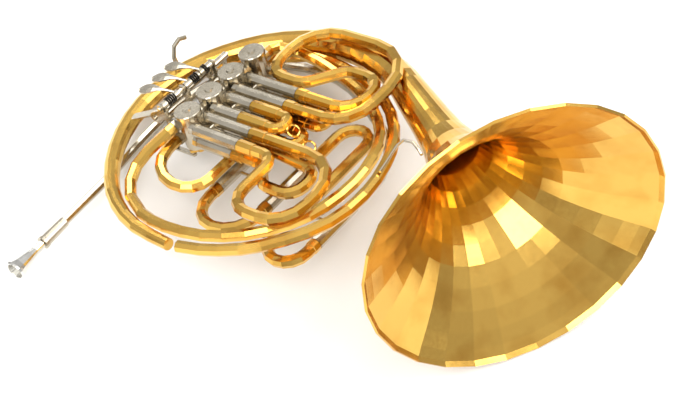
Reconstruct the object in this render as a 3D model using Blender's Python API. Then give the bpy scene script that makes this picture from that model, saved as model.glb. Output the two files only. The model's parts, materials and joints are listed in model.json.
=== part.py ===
"""Double french horn, lying on its back on a table, in metres with +Z up.

The horn is drawn in millimetres in its own frame: X and Y lie in the plane of the coil, Z points
to the side of the valve caps. The valve row has its own directions in that plane: R along the
row, from the first valve to the change valve, and S from the levers towards the valve slides.
"""

import math

import bmesh
import bpy
from mathutils import Matrix, Vector

for old in list(bpy.data.objects):
    bpy.data.objects.remove(old, do_unlink=True)

MM = 0.001
GAP = 0.3                      # running and soldering gap between neighbours

# Tubing
TUBE_R = 6.3                   # outer radius of the main tubing
SLEEVE_R = 7.0                 # outer radius of the nickel sleeves of the slides
SLEEVE_WALL = 0.9
LEG_CLEARANCE = 0.35
SLEEVE_BORE_R = SLEEVE_R - SLEEVE_WALL
LEG_R = SLEEVE_BORE_R - LEG_CLEARANCE
TUBE_SIDES = 8
SLEEVE_SIDES = 10
BEND_STEP = 27.0               # degrees of bend between two rings of a tube
ROUTE_STEP = 21.0              # distance between two rings on a wide curve

# Valves
ROW_ANGLE = 30.5               # direction of the valve row in the coil's plane
ROW_S = -64.0                  # distance of the row from the coil's centre
FIRST_VALVE_R = -17.6
VALVE_PITCH = 34.5
UPPER_Z = 22.0                 # level of the F slides
LOWER_Z = 6.0                  # level of the B flat slides
PORT_OFFSET = 9.9              # half the distance between the two legs of a valve slide
CASING_R = 13.6
CASING_WALL = 2.6
CASING_FLOOR = 3.5
CASING_TOP_Z = 31.0
CASING_BASE_Z = -8.0
CAP_R = 14.5
CAP_HEIGHT = 4.7
CAP_PLUG = 2.2
CAP_HUB_R = 4.6
CAP_HUB_HEIGHT = 1.8
STEM_R = 2.9
STEM_LENGTH = 10.0
STOP_ARM_THICK = 3.6
STOP_ARM_REACH = 9.5
STOP_ARM_WIDTH = 6.0
STUB_R = 7.2
STUB_END = 17.5                # distance of the slide sockets from the valve's axis
BODY_PORT_Z = 3.0
F_PORT_Z = 19.0

# Levers
AXLE_S = -89.5
AXLE_Z = 39.0
AXLE_R = 2.2
HUB_R = 4.0
HUB_CLEARANCE = 0.3
ARM_DROP = 57.0                # from the axle down to the link pivot
ROTOR_TURN = 90.0
THUMB_S = -104.0
THUMB_Z = 22.0
ARM_EYE_R = 2.3
ARM_THICK = 3.4
LINK_THICK = 2.4
LINK_WIDTH = 5.0
EAR_THICK = 2.6

# Bell
BELL_RIM_R = 155.0
BELL_CENTRE = Vector((170.1, -271.4, -19.4))
BELL_AXIS = Vector((0.012, -0.997, -0.074)).normalized()
BELL_WALL = 1.1
BELL_SIDES = 28
RIM_WIRE = 2.0

BACK_Z = -27.0                 # level of the slides on the back

ER = Vector((math.cos(math.radians(ROW_ANGLE)), math.sin(math.radians(ROW_ANGLE)), 0.0))
ES = Vector((math.sin(math.radians(ROW_ANGLE)), -math.cos(math.radians(ROW_ANGLE)), 0.0))
EZ = Vector((0.0, 0.0, 1.0))


def row(r, s, z):
    """A point given along the valve row, across it and in height."""
    return ER * r + ES * s + EZ * z


def valve_r(number):
    return FIRST_VALVE_R + VALVE_PITCH * (number - 1)


def material(name, colour, metallic, roughness):
    made = bpy.data.materials.new(name)
    made.use_nodes = True
    shader = made.node_tree.nodes["Principled BSDF"]
    shader.inputs["Base Color"].default_value = (*colour, 1.0)
    shader.inputs["Metallic"].default_value = metallic
    shader.inputs["Roughness"].default_value = roughness
    made.diffuse_color = (*colour, 1.0)
    return made


LACQUERED_BRASS = material("lacquered_brass", (0.80, 0.55, 0.20), 1.0, 0.16)
NICKEL_SILVER = material("nickel_silver", (0.62, 0.57, 0.49), 1.0, 0.24)
SILVER_PLATE = material("silver_plate", (0.80, 0.79, 0.76), 1.0, 0.12)
SPRING_STEEL = material("spring_steel", (0.10, 0.09, 0.08), 1.0, 0.35)

horn = bpy.data.objects.new("horn_frame", None)
bpy.context.collection.objects.link(horn)


def add(name, mesh, finish, origin=Vector((0, 0, 0))):
    """An object from a mesh drawn in millimetres in the horn's frame, with its origin at a point."""
    mesh.transform(Matrix.Translation(-origin))
    mesh.transform(Matrix.Scale(MM, 4))
    mesh.materials.clear()
    mesh.materials.append(finish)
    mesh.shade_smooth()
    mesh.set_sharp_from_angle(angle=math.radians(40))
    made = bpy.data.objects.new(name, mesh)
    bpy.context.collection.objects.link(made)
    made.parent = horn
    made.location = origin * MM
    return made


def finished(name, bm):
    bmesh.ops.remove_doubles(bm, verts=bm.verts, dist=1e-4)
    bmesh.ops.recalc_face_normals(bm, faces=bm.faces)
    mesh = bpy.data.meshes.new(name)
    bm.to_mesh(mesh)
    bm.free()
    return mesh


def combine(target, tool, operation):
    """A live Boolean of a hidden tool on an object."""
    change = target.modifiers.new(tool.name, "BOOLEAN")
    change.operation = operation
    change.solver = "EXACT"
    change.object = tool
    tool.hide_render = True
    tool.display_type = "WIRE"
    tool.hide_viewport = False


def frame_of(direction):
    """A rotation whose Z axis is the direction."""
    return direction.normalized().to_track_quat("Z", "Y").to_matrix().to_4x4()


def turned_mesh(name, profile, base, direction, sides, ring=False):
    """A profile of (radius, distance) points turned about a line."""
    bm = bmesh.new()
    verts = [bm.verts.new((r, 0.0, z)) for r, z in profile]
    edges = [bm.edges.new(pair) for pair in zip(verts, verts[1:])]
    if ring:
        edges.append(bm.edges.new((verts[-1], verts[0])))
    bmesh.ops.spin(bm, geom=verts + edges, cent=(0, 0, 0), axis=(0, 0, 1),
                   angle=math.tau, steps=sides, use_merge=True)
    mesh = finished(name, bm)
    mesh.transform(Matrix.Translation(base) @ frame_of(direction))
    return mesh


def turned(name, profile, base, direction, sides, finish, ring=False, origin=Vector((0, 0, 0))):
    return add(name, turned_mesh(name, profile, base, direction, sides, ring), finish, origin)


def rod(name, start, end, radius, sides, finish, origin=Vector((0, 0, 0))):
    length = (end - start).length
    profile = [(0, 0), (radius, 0), (radius, length), (0, length)]
    return turned(name, profile, start, end - start, sides, finish, origin=origin)


def plate(name, outline, to_space, thickness, finish, origin=Vector((0, 0, 0))):
    """A flat outline made solid: to_space turns (u, v, w) into a point, w across the plate."""
    bm = bmesh.new()
    verts = [bm.verts.new((u, v, 0.0)) for u, v in outline]
    face = bm.faces.new(verts)
    grown = bmesh.ops.extrude_face_region(bm, geom=[face])
    top = [v for v in grown["geom"] if isinstance(v, bmesh.types.BMVert)]
    bmesh.ops.translate(bm, verts=top, vec=(0, 0, thickness))
    for vert in bm.verts:
        vert.co = to_space(*vert.co)
    return add(name, finished(name, bm), finish, origin)


def bent(corners):
    """Straight runs joined by round bends: corners are (point, bend radius)."""
    route = [corners[0][0]]
    for (before, _), (here, radius), (after, _) in zip(corners, corners[1:], corners[2:]):
        way_in = (here - before).normalized()
        way_out = (after - here).normalized()
        angle = way_in.angle(way_out)
        reach = radius * math.tan(angle / 2)
        start = here - way_in * reach
        side = (way_out - way_in * math.cos(angle)).normalized()
        steps = max(2, math.ceil(math.degrees(angle) / BEND_STEP))
        for i in range(steps + 1):
            a = angle * i / steps
            route.append(start + way_in * (radius * math.sin(a)) + side * (radius * (1 - math.cos(a))))
    route.append(corners[-1][0])
    return route


def smooth(points, step=ROUTE_STEP):
    """A Catmull-Rom curve through the points."""
    ends = [points[0] * 2 - points[1]] + points + [points[-1] * 2 - points[-2]]
    route = [points[0]]
    for a, b, c, d in zip(ends, ends[1:], ends[2:], ends[3:]):
        steps = max(1, round((c - b).length / step))
        for i in range(1, steps + 1):
            t = i / steps
            route.append(0.5 * (2 * b + (c - a) * t + (2 * a - 5 * b + 4 * c - d) * t ** 2
                                + (3 * b - a - 3 * c + d) * t ** 3))
    return route


def banded(route, start_bands, end_bands, radius):
    """Radii along a route: bands of (length, radius) at its two ends, one radius between."""
    lengths = [0.0]
    for a, b in zip(route, route[1:]):
        lengths.append(lengths[-1] + (b - a).length)
    total = lengths[-1]
    steps = []
    at = 0.0
    for length, r in start_bands:
        steps.append((at, at + length, r))
        at += length
    first = at
    at = total
    for length, r in end_bands:
        steps.append((at - length, at, r))
        at -= length
    steps.append((first, at, radius))
    steps.sort()
    marks = []
    for low, high, r in steps:
        marks.append((low + (0.2 if low > 0 else 0.0), r))
        marks.extend((d, r) for d in lengths if low + 1.5 < d < high - 1.5)
        marks.append((high - (0.2 if high < total else 0.0), r))
    marks.sort(key=lambda m: m[0])

    def point(d):
        for i in range(len(route) - 1):
            if d <= lengths[i + 1] or i == len(route) - 2:
                span = lengths[i + 1] - lengths[i]
                return route[i].lerp(route[i + 1], (d - lengths[i]) / span)
    return [(point(d), r) for d, r in marks]


def tube(name, stations, finish, sides=TUBE_SIDES, origin=Vector((0, 0, 0))):
    """A closed tube along (point, radius) stations, swept as a curve and kept as a mesh."""
    curve = bpy.data.curves.new(name, "CURVE")
    curve.dimensions = "3D"
    curve.bevel_depth = 1.0
    curve.bevel_resolution = (sides - 4) // 2
    curve.use_fill_caps = True
    curve.resolution_u = 1
    spline = curve.splines.new("POLY")
    spline.points.add(len(stations) - 1)
    for spot, (point, radius) in zip(spline.points, stations):
        spot.co = (*point, 1.0)
        spot.radius = radius
    carrier = bpy.data.objects.new(name + "_route", curve)
    bpy.context.collection.objects.link(carrier)
    swept = bpy.data.meshes.new_from_object(carrier)
    bpy.data.objects.remove(carrier, do_unlink=True)
    bm = bmesh.new()
    bm.from_mesh(swept)
    bpy.data.meshes.remove(swept)
    return add(name, finished(name, bm), finish, origin)


def plain(route, radius=TUBE_R):
    return [(p, radius) for p in route]


def sleeve_mesh(name, start, end, radius=SLEEVE_R, bore=SLEEVE_BORE_R):
    length = (end - start).length
    profile = [(bore, 0), (radius, 0), (radius, length), (bore, length)]
    return turned_mesh(name, profile, start, end - start, SLEEVE_SIDES, ring=True)


def sleeve_pair(name, first, second, brace_at):
    """Two open nickel sleeves held together by a brace; each is (start, end)."""
    pair = add(name, sleeve_mesh(name, *first), NICKEL_SILVER)
    other = add(name + "_twin", sleeve_mesh(name + "_twin", *second), NICKEL_SILVER)
    combine(pair, other, "UNION")
    way = (first[1] - first[0]).normalized()
    spots = []
    for start, end in (first, second):
        spots.append(start + way * ((brace_at - start).dot(way)))
    across = (spots[1] - spots[0]).normalized()
    inset = (SLEEVE_R * math.cos(math.pi / SLEEVE_SIDES) + SLEEVE_BORE_R) / 2
    brace = rod(name + "_brace", spots[0] + across * inset, spots[1] - across * inset, 1.8, 8,
                NICKEL_SILVER)
    combine(pair, brace, "UNION")
    return pair


# Valve section
def valve_casing(number):
    centre = row(valve_r(number), ROW_S, 0)
    bore = CASING_R - CASING_WALL
    profile = [(STEM_R + GAP, CASING_BASE_Z), (CASING_R, CASING_BASE_Z), (CASING_R, CASING_TOP_Z),
               (bore, CASING_TOP_Z), (bore, CASING_BASE_Z + CASING_FLOOR),
               (STEM_R + GAP, CASING_BASE_Z + CASING_FLOOR)]
    name = f"valve_casing_{number}"
    casing = turned(name, profile, centre, EZ, 18, NICKEL_SILVER, ring=True)
    wall_start = CASING_R - CASING_WALL + 0.6
    sockets = []
    for level in (LOWER_Z, UPPER_Z):
        for side in (-1, 1):
            across = ER * (side * PORT_OFFSET)
            sockets.append((centre + across + EZ * level, ES, STUB_END, STUB_R))
        if number > 1:
            sockets.append((centre + EZ * level, -ER, VALVE_PITCH / 2 - GAP / 2, TUBE_R))
        if number < 4:
            sockets.append((centre + EZ * level, ER, VALVE_PITCH / 2 - GAP / 2, TUBE_R))
        if number == 1:
            sockets.append((centre - ES * PORT_OFFSET + EZ * level, -ER, STUB_END, STUB_R))
    if number == 4:
        sockets = sockets[:2] + [s for s in sockets if s[1] == -ER]
        sockets.append((centre + EZ * BODY_PORT_Z, ER, STUB_END, STUB_R))
        sockets.append((centre + EZ * F_PORT_Z, ER, STUB_END, STUB_R))
    for i, (base, way, reach, radius) in enumerate(sockets):
        stub = rod(f"{name}_socket_{i}", base + way * wall_start, base + way * reach, radius, 8,
                   NICKEL_SILVER)
        combine(casing, stub, "UNION")
    return casing



def valve_cap(number):
    centre = row(valve_r(number), ROW_S, CASING_TOP_Z + GAP)
    plug = CASING_R - CASING_WALL - GAP
    profile = [(0, -CAP_PLUG), (plug, -CAP_PLUG), (plug, 0), (CAP_R, 0), (CAP_R, CAP_HEIGHT - 0.8),
               (CAP_R - 0.8, CAP_HEIGHT), (CAP_HUB_R, CAP_HEIGHT), (CAP_HUB_R - 0.8, CAP_HEIGHT + CAP_HUB_HEIGHT),
               (0, CAP_HEIGHT + CAP_HUB_HEIGHT)]
    return turned(f"valve_cap_{number}", profile, centre, EZ, 18, NICKEL_SILVER, origin=centre)


ROTOR_BASE_Z = CASING_BASE_Z + CASING_FLOOR + GAP
ROTOR_TOP_Z = CASING_TOP_Z - CAP_PLUG
STOP_ARM_Z = CASING_BASE_Z - STEM_LENGTH + STOP_ARM_THICK


def stop_arm_way(turn=0.0):
    """The stop arm points 45 degrees away from the row's normal at rest."""
    angle = math.radians(-45.0 + turn)
    return -ES * math.cos(angle) + ER * math.sin(angle)


def rotor(number):
    centre = row(valve_r(number), ROW_S, 0)
    body = CASING_R - CASING_WALL - GAP
    foot = CASING_BASE_Z - STEM_LENGTH
    profile = [(0, foot), (STEM_R + 1.6, foot), (STEM_R + 1.6, STOP_ARM_Z), (STEM_R, STOP_ARM_Z),
               (STEM_R, ROTOR_BASE_Z), (body, ROTOR_BASE_Z), (body, ROTOR_TOP_Z), (0, ROTOR_TOP_Z)]
    name = f"rotor_{number}"
    made = turned(name, profile, centre, EZ, 16, LACQUERED_BRASS, origin=centre)
    way = stop_arm_way()
    side = EZ.cross(way)
    half = STOP_ARM_WIDTH / 2
    tip = STOP_ARM_REACH + 2.6
    outline = [(2.0, -half), (tip - 1.5, -half), (tip, -half + 1.5), (tip, half - 1.5),
               (tip - 1.5, half), (2.0, half)]
    arm = plate(name + "_arm", outline,
                lambda u, v, w: centre + way * u + side * v + EZ * (foot + 0.3 + w),
                STOP_ARM_THICK - 0.6, LACQUERED_BRASS)
    combine(made, arm, "UNION")
    for level in (LOWER_Z, UPPER_Z):
        for side_sign in (-1, 1):
            spot = centre + (ER * side_sign) * (body + 1.0) + EZ * level
            passage = rod(f"{name}_passage_{level:.0f}_{side_sign}", spot - ES * 20, spot + ES * 20,
                          4.6, 8, LACQUERED_BRASS)
            combine(made, passage, "DIFFERENCE")
    return made


for valve in (1, 2, 3, 4):
    valve_casing(valve)
    valve_cap(valve)
    rotor(valve)


# Valve slides
SOCKET_FACE_S = ROW_S + STUB_END + GAP
SLIDE_JOINT = {"v1_f": 14.0, "v2_f": -14.0, "v3_f": 19.0, "v1_bb": 1.0, "v2_bb": 0.0, "v3_bb": 14.0}
SLEEVE_BRACE_S = -34.0
LEG_INSIDE = 46.0              # length of a slide's inner leg in its sleeve
FERRULE = 20.0
SHOULDER = 0.6


def slide_legs(number):
    centre = valve_r(number)
    return centre - PORT_OFFSET, centre + PORT_OFFSET


def valve_slide(key, number, level, crook, ferrule=FERRULE):
    """The fixed sleeves of one valve slide and the slide that fits in them."""
    left, right = slide_legs(number)
    joint = SLIDE_JOINT[key]
    first = (row(left, SOCKET_FACE_S, level), row(left, joint, level))
    second = (row(right, SOCKET_FACE_S, level), row(right, joint, level))
    sleeve_pair(f"{key}_sleeves", first, second, row(0, SLEEVE_BRACE_S, level))
    inside = min(LEG_INSIDE, joint - SOCKET_FACE_S - 3.0)
    corners = [(row(left, joint - inside, level), 0)] + crook + [(row(right, joint - inside, level), 0)]
    bands = [(inside + GAP, LEG_R), (ferrule, SLEEVE_R), (SHOULDER, TUBE_R)]
    return tube(f"{key}_slide", banded(bent(corners), bands, bands, TUBE_R), LACQUERED_BRASS)


def add_pull_ring(slide, name, centre, normal, radius=6.6, wire=1.1):
    """A pull ring fused to a slide's crook."""
    bm = bmesh.new()
    profile = bmesh.ops.create_circle(bm, segments=6, radius=wire)["verts"]
    bmesh.ops.rotate(bm, verts=profile, cent=(0, 0, 0), matrix=Matrix.Rotation(math.pi / 2, 3, "X"))
    bmesh.ops.translate(bm, verts=profile, vec=(radius, 0, 0))
    edges = list(bm.edges)
    bmesh.ops.spin(bm, geom=profile + edges, cent=(0, 0, 0), axis=(0, 0, 1), angle=math.tau,
                   steps=14, use_merge=True)
    mesh = finished(name, bm)
    mesh.transform(Matrix.Translation(centre) @ frame_of(normal))
    combine(slide, add(name, mesh, NICKEL_SILVER), "UNION")


V1_LEFT, V1_RIGHT = slide_legs(1)
V2_LEFT, V2_RIGHT = slide_legs(2)
V3_LEFT, V3_RIGHT = slide_legs(3)

v1_f = valve_slide("v1_f", 1, UPPER_Z, [
    (row(V1_LEFT, 62, UPPER_Z), 15), (row(-101, 62, UPPER_Z), 26), (row(-101, 137, UPPER_Z), 34),
    (row(V1_RIGHT, 137, UPPER_Z), 46)])
v2_f = valve_slide("v2_f", 2, UPPER_Z, [
    (row(V2_LEFT, 38, UPPER_Z), PORT_OFFSET - 0.1), (row(V2_RIGHT, 38, UPPER_Z), PORT_OFFSET - 0.1)],
    ferrule=36.0)
add_pull_ring(v2_f, "v2_f_ring", row(valve_r(2), 48.5, 18.0), row(0.0, 0.6, 0.8))
CROOK_RISE = 2.5
v3_f = valve_slide("v3_f", 3, UPPER_Z, [
    (row(V3_LEFT, 38, UPPER_Z), 30), (row(V3_LEFT, 106, UPPER_Z + CROOK_RISE), 36), (row(158, 106, UPPER_Z + CROOK_RISE), 56),
    (row(158, -38, UPPER_Z + CROOK_RISE), 42), (row(77, -38, UPPER_Z), 24),
    (row(77, 12, UPPER_Z), 20), (row(113, 46, UPPER_Z), 17), (row(113, 92, UPPER_Z), 22),
    (row(V3_RIGHT, 92, UPPER_Z), 26)], ferrule=12.0)
v1_bb = valve_slide("v1_bb", 1, LOWER_Z, [
    (row(V1_LEFT, 38, LOWER_Z), 14), (row(-52, 62, LOWER_Z), 14), (row(-52, 102, LOWER_Z), 17),
    (row(-13, 102, LOWER_Z), 18), (row(V1_RIGHT, 40, LOWER_Z), 60)], ferrule=12.0)
v2_bb = valve_slide("v2_bb", 2, LOWER_Z, [
    (row(V2_LEFT, 54, LOWER_Z), PORT_OFFSET - 0.1), (row(V2_RIGHT, 54, LOWER_Z), PORT_OFFSET - 0.1)],
    ferrule=40.0)
add_pull_ring(v2_bb, "v2_bb_ring", row(valve_r(2), 64.5, 2.0), row(0.0, 0.6, 0.8))
v3_bb = valve_slide("v3_bb", 3, LOWER_Z, [
    (row(V3_LEFT, 60, LOWER_Z), PORT_OFFSET - 0.1), (row(V3_RIGHT, 60, LOWER_Z), PORT_OFFSET - 0.1)],
    ferrule=30.0)


# Slides on the back of the coil
UPPER_LEG_S = -14.0            # main tuning slide, leg nearer the valves
LOWER_LEG_S = 54.0             # main tuning slide, other leg
MAIN_JOINT_R = -49.0
MAIN_SLEEVE_END_R = 6.0
MAIN_BEND = (LOWER_LEG_S - UPPER_LEG_S) / 2
SECOND_NEAR_S = 92.0           # second tuning slide, leg nearer the valves
SECOND_FAR_S = 136.0
SECOND_JOINT_R = -70.0
SECOND_SLEEVE_END_R = -12.0
SECOND_BEND = (SECOND_FAR_S - SECOND_NEAR_S) / 2
BACK_LEG_INSIDE = 44.0
BACK_FERRULE = 8.0


def back_slide(name, near_s, far_s, joint_r, sleeve_end_r, bend):
    first = (row(joint_r, near_s, BACK_Z), row(sleeve_end_r, near_s, BACK_Z))
    second = (row(joint_r, far_s, BACK_Z), row(sleeve_end_r, far_s, BACK_Z))
    sleeve_pair(f"{name}_sleeves", first, second, row((joint_r + sleeve_end_r) / 2, 0, BACK_Z))
    turn_r = joint_r - BACK_FERRULE - 6.0 - bend
    tip = joint_r + BACK_LEG_INSIDE
    corners = [(row(tip, near_s, BACK_Z), 0), (row(turn_r, near_s, BACK_Z), bend - 0.1),
               (row(turn_r, far_s, BACK_Z), bend - 0.1), (row(tip, far_s, BACK_Z), 0)]
    bands = [(BACK_LEG_INSIDE + GAP, LEG_R), (BACK_FERRULE, SLEEVE_R), (SHOULDER, TUBE_R)]
    return tube(f"{name}_slide", banded(bent(corners), bands, bands, TUBE_R), LACQUERED_BRASS)


back_slide("main_tuning", UPPER_LEG_S, LOWER_LEG_S, MAIN_JOINT_R, MAIN_SLEEVE_END_R, MAIN_BEND)
back_slide("second_tuning", SECOND_NEAR_S, SECOND_FAR_S, SECOND_JOINT_R, SECOND_SLEEVE_END_R, SECOND_BEND)

# The loop that joins the two slides on the back
LOOP_R = 64.0
LOOP_BEND = (SECOND_NEAR_S - LOWER_LEG_S) / 2
tube("tuning_loop", plain(bent([
    (row(SECOND_SLEEVE_END_R + GAP, SECOND_NEAR_S, BACK_Z), 0),
    (row(LOOP_R + LOOP_BEND, SECOND_NEAR_S, BACK_Z), LOOP_BEND - 0.1),
    (row(LOOP_R + LOOP_BEND, LOWER_LEG_S, BACK_Z), LOOP_BEND - 0.1),
    (row(MAIN_SLEEVE_END_R + GAP, LOWER_LEG_S, BACK_Z), 0)])), LACQUERED_BRASS)

# From the main tuning slide up to the change valve
FEED_R = valve_r(4) + PORT_OFFSET
tube("change_valve_feed", plain(bent([
    (row(MAIN_SLEEVE_END_R + GAP, UPPER_LEG_S, BACK_Z), 0), (row(FEED_R, UPPER_LEG_S, BACK_Z), 18),
    (row(FEED_R, -36, LOWER_Z), 14), (row(FEED_R, SOCKET_FACE_S, LOWER_Z), 0)])), NICKEL_SILVER)

# From the change valve back to the first valve on the B flat side
BRANCH_Z = -9.5
BRANCH_R = valve_r(4) - PORT_OFFSET
FIRST_FACE_R = FIRST_VALVE_R - STUB_END - GAP
FIRST_FACE_S = ROW_S - PORT_OFFSET
tube("bb_branch", plain(bent([
    (row(FIRST_FACE_R, FIRST_FACE_S, LOWER_Z), 0), (row(FIRST_FACE_R - 8, FIRST_FACE_S, LOWER_Z), 12),
    (row(-82, FIRST_FACE_S, 2), 32),
    (row(-82, UPPER_LEG_S, BRANCH_Z), 26), (row(BRANCH_R, UPPER_LEG_S, BRANCH_Z), 14),
    (row(BRANCH_R, -38, LOWER_Z), 10), (row(BRANCH_R, SOCKET_FACE_S, LOWER_Z), 0)])), LACQUERED_BRASS)


# Body tubing
def points(*rows):
    return [Vector(p) for p in rows]


LAST_FACE_R = valve_r(4) + STUB_END + GAP
BODY_RUN = points((77, 116, 0), (99, 105, -3), (117, 79, -4), (131, 42, -3), (138.5, 0, -2),
                  (137.5, -45, -1), (124, -87, 0), (102, -118, 0), (68, -147, 0), (26, -163, 0),
                  (-20, -160.5, 0), (-62, -147, 0), (-96, -124, 0), (-114, -106, 0))
BODY_END = BODY_RUN[-1]
body_route = smooth([row(LAST_FACE_R, ROW_S, BODY_PORT_Z), row(LAST_FACE_R + 12, ROW_S, BODY_PORT_Z)]
                    + BODY_RUN)
tube("body_coil", plain(body_route), LACQUERED_BRASS)

F_RUN = points((74, 111, 18), (91, 99, 10), (104, 77, 5), (115, 46, 1), (123, 10, 0),
               (124, -30, 0), (116, -70, 0), (96, -100, 0), (66, -124, 0), (30, -139, 0),
               (-8, -142, 0), (-50, -131, 0), (-88, -106, 0), (-117, -70, 0), (-132.5, -36, 0),
               (-135.5, -5, 0), (-129, 17, 2), (-117, 32, 6), (-100, 38, 13))
f_route = smooth([row(LAST_FACE_R, ROW_S, F_PORT_Z), row(LAST_FACE_R + 8, ROW_S, F_PORT_Z)] + F_RUN
                 + [row(FIRST_FACE_R - 8, FIRST_FACE_S, UPPER_Z),
                    row(FIRST_FACE_R, FIRST_FACE_S, UPPER_Z)])
tube("f_coil", plain(f_route), LACQUERED_BRASS)

# Bell: a turned flare, then a tapering branch over the top and down the left side
BELL_PROFILE = [(0, 155), (3, 151.5), (9, 143), (18, 129), (30, 112), (44, 95), (60, 79), (76, 65.5),
                (92, 54), (108, 44), (124, 35.5), (142, 29), (162, 24.6), (190, 22), (222, 20.2),
                (250, 18.6)]
BELL_LENGTH = BELL_PROFILE[-1][0]
THROAT_R = BELL_PROFILE[-1][1]


def bell():
    scale = BELL_RIM_R / BELL_PROFILE[0][1]
    outer = [(r * scale, t) for t, r in BELL_PROFILE]
    rim = [(BELL_RIM_R - RIM_WIRE, -RIM_WIRE), (BELL_RIM_R, 0.0)]
    inner = [(r * scale - BELL_WALL * (1.4 if t < 110 else 1.0), t + (BELL_WALL if t < 60 else 0.0) - 1.0)
             for t, r in BELL_PROFILE[1:-1]]
    floor = [(THROAT_R - BELL_WALL, BELL_LENGTH - 3.0), (0.0, BELL_LENGTH - 3.0)]
    profile = [(0.0, BELL_LENGTH)] + outer[::-1][:-1] + [(BELL_RIM_R, 0.0)] + rim[:1] + inner + floor
    return turned("bell", profile, BELL_CENTRE, -BELL_AXIS, BELL_SIDES, LACQUERED_BRASS)


bell()
TAIL_START = BELL_CENTRE - BELL_AXIS * (BELL_LENGTH + GAP)
TAIL_RUN = points((166, 12, -1), (157, 52, -1), (137, 93, -1), (106, 127, -1), (66, 152, -1),
                  (22, 164, -1), (-22, 163.5, 0), (-64, 149, 0), (-101, 120, 0), (-129, 80, 0),
                  (-146, 35, 0), (-150.5, -8, 0), (-143, -52, 0))
BRANCH_END_R = TUBE_R
tail_points = smooth([TAIL_START, TAIL_START - BELL_AXIS * 14] + TAIL_RUN
                     + [BODY_END + Vector((-7.0, 8.0, 0.0))])


def tapered(route, start_radius, end_radius, power=0.75):
    lengths = [0.0]
    for a, b in zip(route, route[1:]):
        lengths.append(lengths[-1] + (b - a).length)
    total = lengths[-1]
    return [(p, start_radius + (end_radius - start_radius) * (d / total) ** power)
            for p, d in zip(route, lengths)]


tube("bell_branch", tapered(tail_points, THROAT_R, BRANCH_END_R), LACQUERED_BRASS, sides=14)

# Leadpipe, receiver and mouthpiece
LEAD_START = Vector((-207.0, 27.0, -20.0))
LEAD_WAY = (Vector((-150.0, 66.0, -20.0)) - LEAD_START).normalized()
LEAD_START_R = 4.6
LEAD_RUN = points((-150, 66, -20), (-118, 90, -19), (-86, 113, -18), (-50, 134, -17), (-8, 146, -16),
                  (36, 146, -17), (78, 130, -20), (108, 96, -24), (124, 52, -26), (127.5, 5, -27),
                  (126, -40, -27), (116.5, -78, -27), (98, -99, -27))
lead_end = row(SECOND_SLEEVE_END_R + GAP, SECOND_FAR_S, BACK_Z)
lead_route = smooth([LEAD_START] + LEAD_RUN + [row(26, SECOND_FAR_S, BACK_Z), row(6, SECOND_FAR_S, BACK_Z),
                                               lead_end])
tube("leadpipe", tapered(lead_route, LEAD_START_R, TUBE_R, 1.0), NICKEL_SILVER)

RECEIVER_LENGTH = 34.0
RECEIVER_R = 6.4
SHANK_R = 4.2
SHANK_INSIDE = 22.0
receiver_base = LEAD_START - LEAD_WAY * (RECEIVER_LENGTH + GAP)
turned("mouthpiece_receiver", [
    (SHANK_R + GAP, 0), (RECEIVER_R + 0.8, 0), (RECEIVER_R + 0.8, 4), (RECEIVER_R, 4.6),
    (RECEIVER_R - 0.6, RECEIVER_LENGTH), (2.6, RECEIVER_LENGTH), (2.6, SHANK_INSIDE + 2.0),
    (SHANK_R + GAP, SHANK_INSIDE + 2.0)], receiver_base, LEAD_WAY, 14, NICKEL_SILVER, ring=True)

MOUTH_LENGTH = 65.0
MOUTH_RIM_R = 12.6
mouth_base = receiver_base + LEAD_WAY * (SHANK_INSIDE - MOUTH_LENGTH)
turned("mouthpiece", [
    (8.8, 0.0), (MOUTH_RIM_R - 1.4, -0.9), (MOUTH_RIM_R, 0.8), (MOUTH_RIM_R - 1.2, 3.6),
    (9.6, 8.0), (8.0, 16.0), (6.2, 24.0), (5.2, 31.0), (SHANK_R + 0.6, MOUTH_LENGTH - SHANK_INSIDE - 1.0),
    (SHANK_R, MOUTH_LENGTH - SHANK_INSIDE), (SHANK_R - 0.3, MOUTH_LENGTH), (2.4, MOUTH_LENGTH),
    (2.2, 30.0), (3.4, 22.0), (6.6, 10.0)], mouth_base, LEAD_WAY, 20, SILVER_PLATE, ring=True,
    origin=mouth_base)


# Finger levers
LEVER_ARM_R = [valve_r(n) - STOP_ARM_REACH * math.sin(math.radians(45)) for n in (1, 2, 3, 4)]
PIN_TRAVEL = 2 * STOP_ARM_REACH * math.sin(math.radians(ROTOR_TURN / 2))
HALF_PRESS = math.asin(PIN_TRAVEL / 2 / ARM_DROP)
NECK_R = [-6.0, 14.0, 34.0]
HUB_SPAN = [(-27.6, -2.6), (7.6, 29.4), (31.2, 48.6)]
PADDLE_SKEW = -16.0            # how far a paddle's tip lies along the row from its neck
PADDLE_LENGTH = 37.0
PADDLE_Z = 46.5


def bar(name, start, end, across, half_across, half_thick, finish):
    """A straight bar of rectangular section."""
    way = end - start
    side = across.normalized()
    up = way.cross(side).normalized()
    outline = [(0, -half_across), (1, -half_across), (1, half_across), (0, half_across)]
    return plate(name, outline,
                 lambda u, v, w: start + way * u + side * v + up * (w - half_thick),
                 2 * half_thick, finish)


def hub(name, span, s, z, origin):
    profile = [(AXLE_R + HUB_CLEARANCE, span[0]), (HUB_R, span[0]), (HUB_R, span[1]),
               (AXLE_R + HUB_CLEARANCE, span[1])]
    return turned(name, profile, row(0, s, z), ER, 14, NICKEL_SILVER, ring=True, origin=origin)


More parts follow.
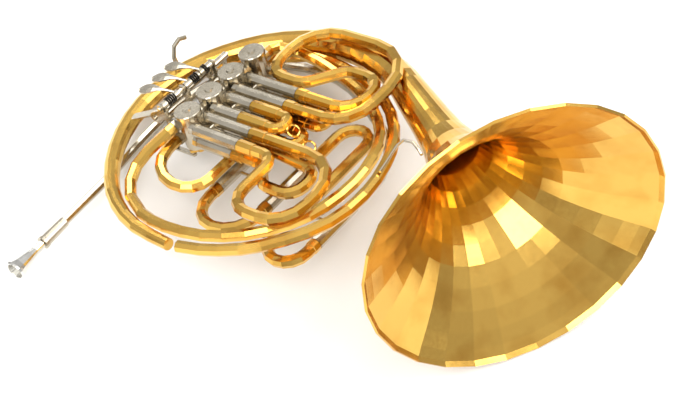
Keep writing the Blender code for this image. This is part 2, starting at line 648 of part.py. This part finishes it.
def swing_arm(lever, name, arm_r, s, z, drop, half_press):
    """The arm under a lever's hub, leaning back half its swing, with a round eye."""
    way = -EZ * math.cos(half_press) - ES * math.sin(half_press)
    top = row(arm_r, s, z) + way * (AXLE_R + HUB_CLEARANCE + 0.7)
    eye = row(arm_r, s, z) + way * drop
    arm = bar(name + "_arm", top, eye, ER, ARM_THICK / 2, 1.9, NICKEL_SILVER)
    combine(lever, arm, "UNION")
    end = rod(name + "_eye", eye - ER * 2.6, eye + ER * 2.6, ARM_EYE_R, 10, NICKEL_SILVER)
    combine(lever, end, "UNION")
    return eye


def paddle(name, neck, tip, width, rise):
    """A spoon-shaped finger plate from its neck to its tip, slightly dished along its length."""
    way = tip - neck
    length = way.length
    way.normalize()
    side = EZ.cross(way).normalized()
    bm = bmesh.new()
    shares = [0.0, 0.25, 0.42, 0.58, 0.72, 0.86, 0.96, 1.0]
    halves = [0.17, 0.2, 0.42, 0.78, 1.0, 0.92, 0.55, 0.2]
    rings = []
    for share, half in zip(shares, halves):
        lift = rise * math.sin(math.pi * min(1.0, share * 1.05))
        middle = neck + way * (length * share) + EZ * lift
        reach = side * (half * width / 2)
        rings.append([bm.verts.new(middle - reach - EZ * 0.7), bm.verts.new(middle - EZ * 1.1),
                      bm.verts.new(middle + reach - EZ * 0.7), bm.verts.new(middle + reach + EZ * 0.7),
                      bm.verts.new(middle + EZ * 0.9), bm.verts.new(middle - reach + EZ * 0.7)])
    for near, far in zip(rings, rings[1:]):
        for i in range(6):
            j = (i + 1) % 6
            bm.faces.new((near[i], near[j], far[j], far[i]))
    bm.faces.new(rings[0][::-1])
    bm.faces.new(rings[-1])
    return add(name, finished(name, bm), NICKEL_SILVER)


link_eyes = []
for n in (1, 2, 3):
    pivot = row(NECK_R[n - 1], AXLE_S, AXLE_Z)
    name = f"finger_lever_{n}"
    lever = hub(name, HUB_SPAN[n - 1], AXLE_S, AXLE_Z, pivot)
    link_eyes.append(swing_arm(lever, name, LEVER_ARM_R[n - 1], AXLE_S, AXLE_Z, ARM_DROP, HALF_PRESS))
    neck_start = row(NECK_R[n - 1], AXLE_S - 1.0, AXLE_Z + HUB_R - 0.7)
    tip = row(NECK_R[n - 1] + PADDLE_SKEW, AXLE_S - PADDLE_LENGTH, PADDLE_Z)
    combine(lever, paddle(name + "_paddle", neck_start, tip, 15.0, 3.0), "UNION")

rod("finger_axle", row(-33.0, AXLE_S, AXLE_Z), row(54.0, AXLE_S, AXLE_Z), AXLE_R, 12, NICKEL_SILVER)

# Thumb lever for the change valve
THUMB_DROP = THUMB_Z - (AXLE_Z - ARM_DROP * math.cos(HALF_PRESS))
THUMB_HALF_PRESS = math.atan(PIN_TRAVEL / 2 / THUMB_DROP)
THUMB_ARM = THUMB_DROP / math.cos(THUMB_HALF_PRESS)
THUMB_SPAN = (-27.6, 83.0)
thumb_pivot = row(0, THUMB_S, THUMB_Z)
thumb = hub("thumb_lever", THUMB_SPAN, THUMB_S, THUMB_Z, thumb_pivot)
link_eyes.append(swing_arm(thumb, "thumb_lever", LEVER_ARM_R[3], THUMB_S, THUMB_Z, THUMB_ARM,
                           THUMB_HALF_PRESS))
THUMB_PLATE = [(0, -3.0), (10, -3.0), (12, -5.0), (36, -5.0), (38, -3.5), (38, 3.5), (36, 5.0), (12, 5.0),
               (10, 3.0), (0, 3.0)]
thumb_from = row(-19.0, THUMB_S - HUB_R + 0.8, THUMB_Z - 0.8)
thumb_to = row(-31.0, -140.0, 12.0)
thumb_way = (thumb_to - thumb_from).normalized()
thumb_side = EZ.cross(thumb_way).normalized()
thumb_up = thumb_way.cross(thumb_side)
thumb_plate = plate("thumb_plate", THUMB_PLATE,
                    lambda u, v, w: thumb_from + thumb_way * u + thumb_side * v + thumb_up * (w - 1.0),
                    2.0, NICKEL_SILVER)
combine(thumb, thumb_plate, "UNION")
rod("thumb_axle", row(-33.0, THUMB_S, THUMB_Z), row(85.0, THUMB_S, THUMB_Z), AXLE_R, 12, NICKEL_SILVER)

# Links from the levers to the stop arms
STOP_FOOT_Z = CASING_BASE_Z - STEM_LENGTH
PIN_S = ROW_S - STOP_ARM_REACH * math.cos(math.radians(45))
for n, eye in zip((1, 2, 3, 4), link_eyes):
    arm_r = LEVER_ARM_R[n - 1]
    eye_s = eye.dot(ES)
    top_z = eye.z - ARM_EYE_R - GAP
    half = LINK_WIDTH / 2
    outline = [(eye_s - half, -half), (PIN_S + half, -half), (PIN_S + half + 1.2, 0), (PIN_S + half, half),
               (eye_s - half, half), (eye_s - half - 1.2, 0)]
    name = f"link_{n}"
    link = plate(name, outline, lambda u, v, w: row(arm_r + v, u, top_z - LINK_THICK + w), LINK_THICK,
                 NICKEL_SILVER, origin=eye)
    boss = rod(name + "_boss", row(arm_r, PIN_S, top_z - 0.5), row(arm_r, PIN_S, STOP_FOOT_Z - GAP), 2.0,
               10, NICKEL_SILVER)
    combine(link, boss, "UNION")


# Bracket that carries both axles
def ear_outline(with_thumb):
    near = AXLE_S + 7.2
    head = [(near, 24.0), (near, 28.0), (AXLE_S + 4.2, AXLE_Z - 4.0), (AXLE_S + 3.6, AXLE_Z + 3.6),
            (AXLE_S - 3.6, AXLE_Z + 3.6), (AXLE_S - 4.2, AXLE_Z - 4.0)]
    if with_thumb:
        wide = HUB_R + GAP + 2.3
        return head + [(THUMB_S - 0.4 * wide, THUMB_Z + wide), (THUMB_S - wide, THUMB_Z + 0.4 * wide),
                       (THUMB_S - wide, THUMB_Z - 0.4 * wide), (THUMB_S - 0.4 * wide, THUMB_Z - wide),
                       (THUMB_S + 4.0, THUMB_Z - wide), (AXLE_S - 2.0, 24.0)]
    return head + [(AXLE_S + 0.5, 24.0)]


EARS = [(-30.6, True), (3.4, False), (49.4, True)]
bracket = bar("lever_bracket", row(EARS[0][0] + 0.4, AXLE_S + 5.4, 26.0), row(EARS[2][0] + 2.2, AXLE_S + 5.4, 26.0),
              ES, 1.4, 1.8, NICKEL_SILVER)
for i, (ear_r, with_thumb) in enumerate(EARS):
    ear = plate(f"bracket_ear_{i}", ear_outline(with_thumb), lambda u, v, w, r0=ear_r: row(r0 + w, u, v),
                EAR_THICK, NICKEL_SILVER)
    combine(bracket, ear, "UNION")
for n in (1, 2, 3):
    foot = rod(f"bracket_foot_{n}", row(valve_r(n), AXLE_S + 5.6, 26.0),
               row(valve_r(n), ROW_S - CASING_R - GAP, 26.0), 1.5, 8, NICKEL_SILVER)
    combine(bracket, foot, "UNION")
for name, s, z, span, radius in (("finger", AXLE_S, AXLE_Z, (-40, 60), AXLE_R + GAP),
                                 ("thumb", THUMB_S, THUMB_Z, (-40, 0), AXLE_R + GAP),
                                 ("thumb_hub", THUMB_S, THUMB_Z, (40, 60), HUB_R + GAP)):
    hole = rod(f"bracket_hole_{name}", row(span[0], s, z), row(span[1], s, z), radius, 14, NICKEL_SILVER)
    combine(bracket, hole, "DIFFERENCE")

# Lever springs, each wound round its hub
SPRING_WIRE_R = 0.7
SPRING_SPANS = [(-20.5, -9.5), (17.8, 27.6), (37.2, 42.6)]
SPRING_PITCH = 2.6


def spring(name, span, s, z):
    radius = HUB_R + GAP + SPRING_WIRE_R
    curls = (span[1] - span[0]) / SPRING_PITCH
    steps = round(curls * 9)
    stations = []
    for i in range(steps + 1):
        a = math.tau * curls * i / steps
        centre = row(span[0] + (span[1] - span[0]) * i / steps, s, z)
        stations.append((centre + ES * (radius * math.cos(a)) + EZ * (radius * math.sin(a)), SPRING_WIRE_R))
    least = min((a[0] - b[0]).length for a, b in zip(stations, stations[9:])) - 2 * SPRING_WIRE_R
    print(f"{name}: least gap between turns {least:.2f} mm")
    return tube(name, stations, SPRING_STEEL, sides=6)


for n in (1, 2, 3):
    spring(f"lever_spring_{n}", SPRING_SPANS[n - 1], AXLE_S, AXLE_Z)

# Small fittings
tube("little_finger_hook", [(p, r) for p, r in zip(smooth([
    row(52, -152, 12.2), row(50, -150, 16), row(46, -143, 24), row(44, -141, 36), row(49, -141, 47),
    row(58, -140, 51), row(66, -139, 48)], 9.0), [3.4, 3.0, 2.8, 2.6, 2.6, 2.6, 2.6, 2.6, 2.6, 2.6, 2.4])],
    NICKEL_SILVER, sides=8)
tube("bell_brace", plain(smooth(points(
    (92, -134, 8.6), (104, -124, 9.2), (120, -110, 10), (129, -106, 10), (136, -112, 8), (137.5, -122, 5),
    (137.3, -130, 4)), 9.0), 1.7), NICKEL_SILVER, sides=8)


def lay_on_table():
    """Turns the horn until its lowest three points carry it, and puts it over the origin."""
    bpy.context.view_layer.update()
    shown = [o for o in bpy.data.objects if o.type == "MESH" and not o.hide_render]
    graph = bpy.context.evaluated_depsgraph_get()
    cloud = bmesh.new()
    weight = 0.0
    moment = Vector((0, 0, 0))
    for item in shown:
        seen = item.evaluated_get(graph)
        mesh = seen.to_mesh()
        own = bmesh.new()
        own.from_mesh(mesh)
        for vert in own.verts:
            cloud.verts.new(item.matrix_world @ vert.co)
        area = sum(f.calc_area() for f in own.faces)
        middle = sum((item.matrix_world @ f.calc_center_median() * f.calc_area() for f in own.faces), Vector())
        moment += middle
        weight += area
        own.free()
        seen.to_mesh_clear()
    heavy = moment / weight
    hull = bmesh.ops.convex_hull(cloud, input=cloud.verts)
    faces = [f for f in hull["geom"] if isinstance(f, bmesh.types.BMFace)]
    best = None
    for face in faces:
        if face.normal.z > -0.6:
            continue
        foot = heavy + face.normal * ((face.verts[0].co - heavy).dot(face.normal))
        inside = all((loop.link_loop_next.vert.co - loop.vert.co).cross(foot - loop.vert.co).dot(face.normal) > 0
                     for loop in face.loops)
        if inside:
            best = face.normal.copy()
    turn = best.rotation_difference(Vector((0, 0, -1))).to_matrix().to_4x4()
    spots = [turn @ v.co for v in cloud.verts]
    cloud.free()
    low = Vector(min(p[i] for p in spots) for i in range(3))
    high = Vector(max(p[i] for p in spots) for i in range(3))
    shift = Matrix.Translation((-(low.x + high.x) / 2, -(low.y + high.y) / 2, -low.z))
    horn.matrix_world = shift @ turn


lay_on_table()
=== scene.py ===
"""The look of the double french horn: lacquered brass, nickel silver and silver plate on a pale table."""
import json
import math

import bpy
from mathutils import Matrix, Vector

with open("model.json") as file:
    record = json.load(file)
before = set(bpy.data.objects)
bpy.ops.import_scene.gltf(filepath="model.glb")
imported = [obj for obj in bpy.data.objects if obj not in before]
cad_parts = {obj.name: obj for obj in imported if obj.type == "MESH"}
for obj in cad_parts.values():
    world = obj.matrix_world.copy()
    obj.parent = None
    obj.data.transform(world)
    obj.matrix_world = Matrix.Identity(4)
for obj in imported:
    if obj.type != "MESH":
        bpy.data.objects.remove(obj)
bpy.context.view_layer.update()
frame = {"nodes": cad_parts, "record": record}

# Where the horn's own frame lies in the row frame, and the fitted camera in the horn's frame
HORN_TO_ROW = Matrix(((0.9983, 0.0098, -0.058, -0.0234), (0.0098, 0.9442, 0.3292, 0.0673),
                      (0.058, -0.3292, 0.9425, 0.0686), (0.0, 0.0, 0.0, 1.0)))
CAMERA_TURN = Matrix(((0.9106, -0.3428, -0.2309), (0.3949, 0.5563, 0.7312), (-0.1222, -0.757, 0.6419)))
CAMERA_SHIFT = Vector((-0.0894, 0.0593, -1.7352))
LENS_MM = 90.0
SENSOR_MM = 36.0
SHARP_ANGLE = math.radians(35.0)


def linear(code):
    """An sRGB hex colour as linear RGBA."""
    parts = [int(code[i:i + 2], 16) / 255 for i in (1, 3, 5)]
    return [c / 12.92 if c <= 0.04045 else ((c + 0.055) / 1.055) ** 2.4 for c in parts] + [1.0]


def metal(name, clean, worn, roughness, spread, grain):
    """A metal whose colour and roughness drift slowly over the surface, with fine handling marks."""
    made = bpy.data.materials.new(name)
    made.use_nodes = True
    nodes = made.node_tree.nodes
    links = made.node_tree.links
    shader = nodes["Principled BSDF"]
    shader.inputs["Metallic"].default_value = 1.0
    place = nodes.new("ShaderNodeTexCoord")
    patches = nodes.new("ShaderNodeTexNoise")
    patches.inputs["Scale"].default_value = 22.0
    patches.inputs["Detail"].default_value = 3.0
    marks = nodes.new("ShaderNodeTexNoise")
    marks.inputs["Scale"].default_value = grain
    marks.inputs["Detail"].default_value = 2.0
    tint = nodes.new("ShaderNodeMix")
    tint.data_type = "RGBA"
    tint.inputs["A"].default_value = linear(clean)
    tint.inputs["B"].default_value = linear(worn)
    share = nodes.new("ShaderNodeMapRange")
    share.inputs["From Min"].default_value = 0.45
    share.inputs["From Max"].default_value = 0.75
    rough = nodes.new("ShaderNodeMapRange")
    rough.inputs["To Min"].default_value = roughness
    rough.inputs["To Max"].default_value = roughness + spread
    for texture in (patches, marks):
        links.new(place.outputs["Object"], texture.inputs["Vector"])
    links.new(patches.outputs["Fac"], share.inputs["Value"])
    links.new(share.outputs["Result"], tint.inputs["Factor"])
    links.new(tint.outputs["Result"], shader.inputs["Base Color"])
    links.new(marks.outputs["Fac"], rough.inputs["Value"])
    links.new(rough.outputs["Result"], shader.inputs["Roughness"])
    return made


FINISHES = {
    "lacquered_brass": metal("lacquered yellow brass", "#E6B85C", "#CF9A43", 0.12, 0.12, 260.0),
    "nickel_silver": metal("polished nickel silver", "#C9C0AE", "#AFA591", 0.16, 0.14, 320.0),
    "silver_plate": metal("silver plate", "#E4E2DC", "#CFCBC2", 0.08, 0.10, 300.0),
    "spring_steel": metal("blued spring steel", "#35302B", "#26221E", 0.30, 0.15, 400.0)}

slots = {entry["node"]: entry["material_slot"] for entry in frame["record"]["subparts"]}
for name, node in frame["nodes"].items():
    node.data.materials.clear()
    node.data.materials.append(FINISHES[slots[name]])
    node.data.shade_smooth()
    node.data.set_sharp_from_angle(angle=SHARP_ANGLE)

# Table
bpy.ops.mesh.primitive_plane_add(size=30.0, location=(0, 0, -0.0005))
table = bpy.context.object
table.name = "table"
paper = bpy.data.materials.new("white paper")
paper.use_nodes = True
paper_shader = paper.node_tree.nodes["Principled BSDF"]
paper_shader.inputs["Base Color"].default_value = linear("#F7F7F5")
paper_shader.inputs["Roughness"].default_value = 0.9
table.data.materials.append(paper)

# Soft lights
for name, spot, size, power in (("key light", (-1.2, -1.0, 2.2), 1.6, 42.0), ("fill light", (1.6, -0.4, 1.8), 1.4, 20.0),
                                ("back light", (0.2, 1.9, 1.6), 1.2, 24.0)):
    lamp = bpy.data.lights.new(name, "AREA")
    lamp.size = size
    lamp.energy = power
    lit = bpy.data.objects.new(name, lamp)
    bpy.context.collection.objects.link(lit)
    lit.location = spot
    lit.rotation_euler = (-Vector(spot)).to_track_quat("-Z", "Y").to_euler()

# Surroundings: white to the camera, a soft gradient to the metal
world = bpy.data.worlds.new("studio")
bpy.context.scene.world = world
world.use_nodes = True
sky = world.node_tree.nodes
join = world.node_tree.links
around = sky["Background"]
rays = sky.new("ShaderNodeLightPath")
where = sky.new("ShaderNodeTexCoord")
split = sky.new("ShaderNodeSeparateXYZ")
fade = sky.new("ShaderNodeMapRange")
fade.inputs["From Min"].default_value = -0.1
fade.inputs["From Max"].default_value = 0.9
fade.inputs["To Min"].default_value = 0.35
fade.inputs["To Max"].default_value = 0.95
level = sky.new("ShaderNodeMix")
level.inputs["B"].default_value = 1.0
join.new(where.outputs["Generated"], split.inputs["Vector"])
join.new(split.outputs["Z"], fade.inputs["Value"])
join.new(fade.outputs["Result"], level.inputs["A"])
join.new(rays.outputs["Is Camera Ray"], level.inputs["Factor"])
join.new(level.outputs["Result"], around.inputs["Strength"])
around.inputs["Color"].default_value = linear("#FFFFFF")

# Camera
lens = bpy.data.cameras.new("photo camera")
lens.lens = LENS_MM
lens.sensor_width = SENSOR_MM
eye = bpy.data.objects.new("photo camera", lens)
bpy.context.collection.objects.link(eye)
turn = CAMERA_TURN.transposed()
pose = turn.to_4x4()
pose.translation = -(turn @ CAMERA_SHIFT)
eye.matrix_world = HORN_TO_ROW @ pose
bpy.context.scene.camera = eye
bpy.context.scene.view_settings.view_transform = "Standard"
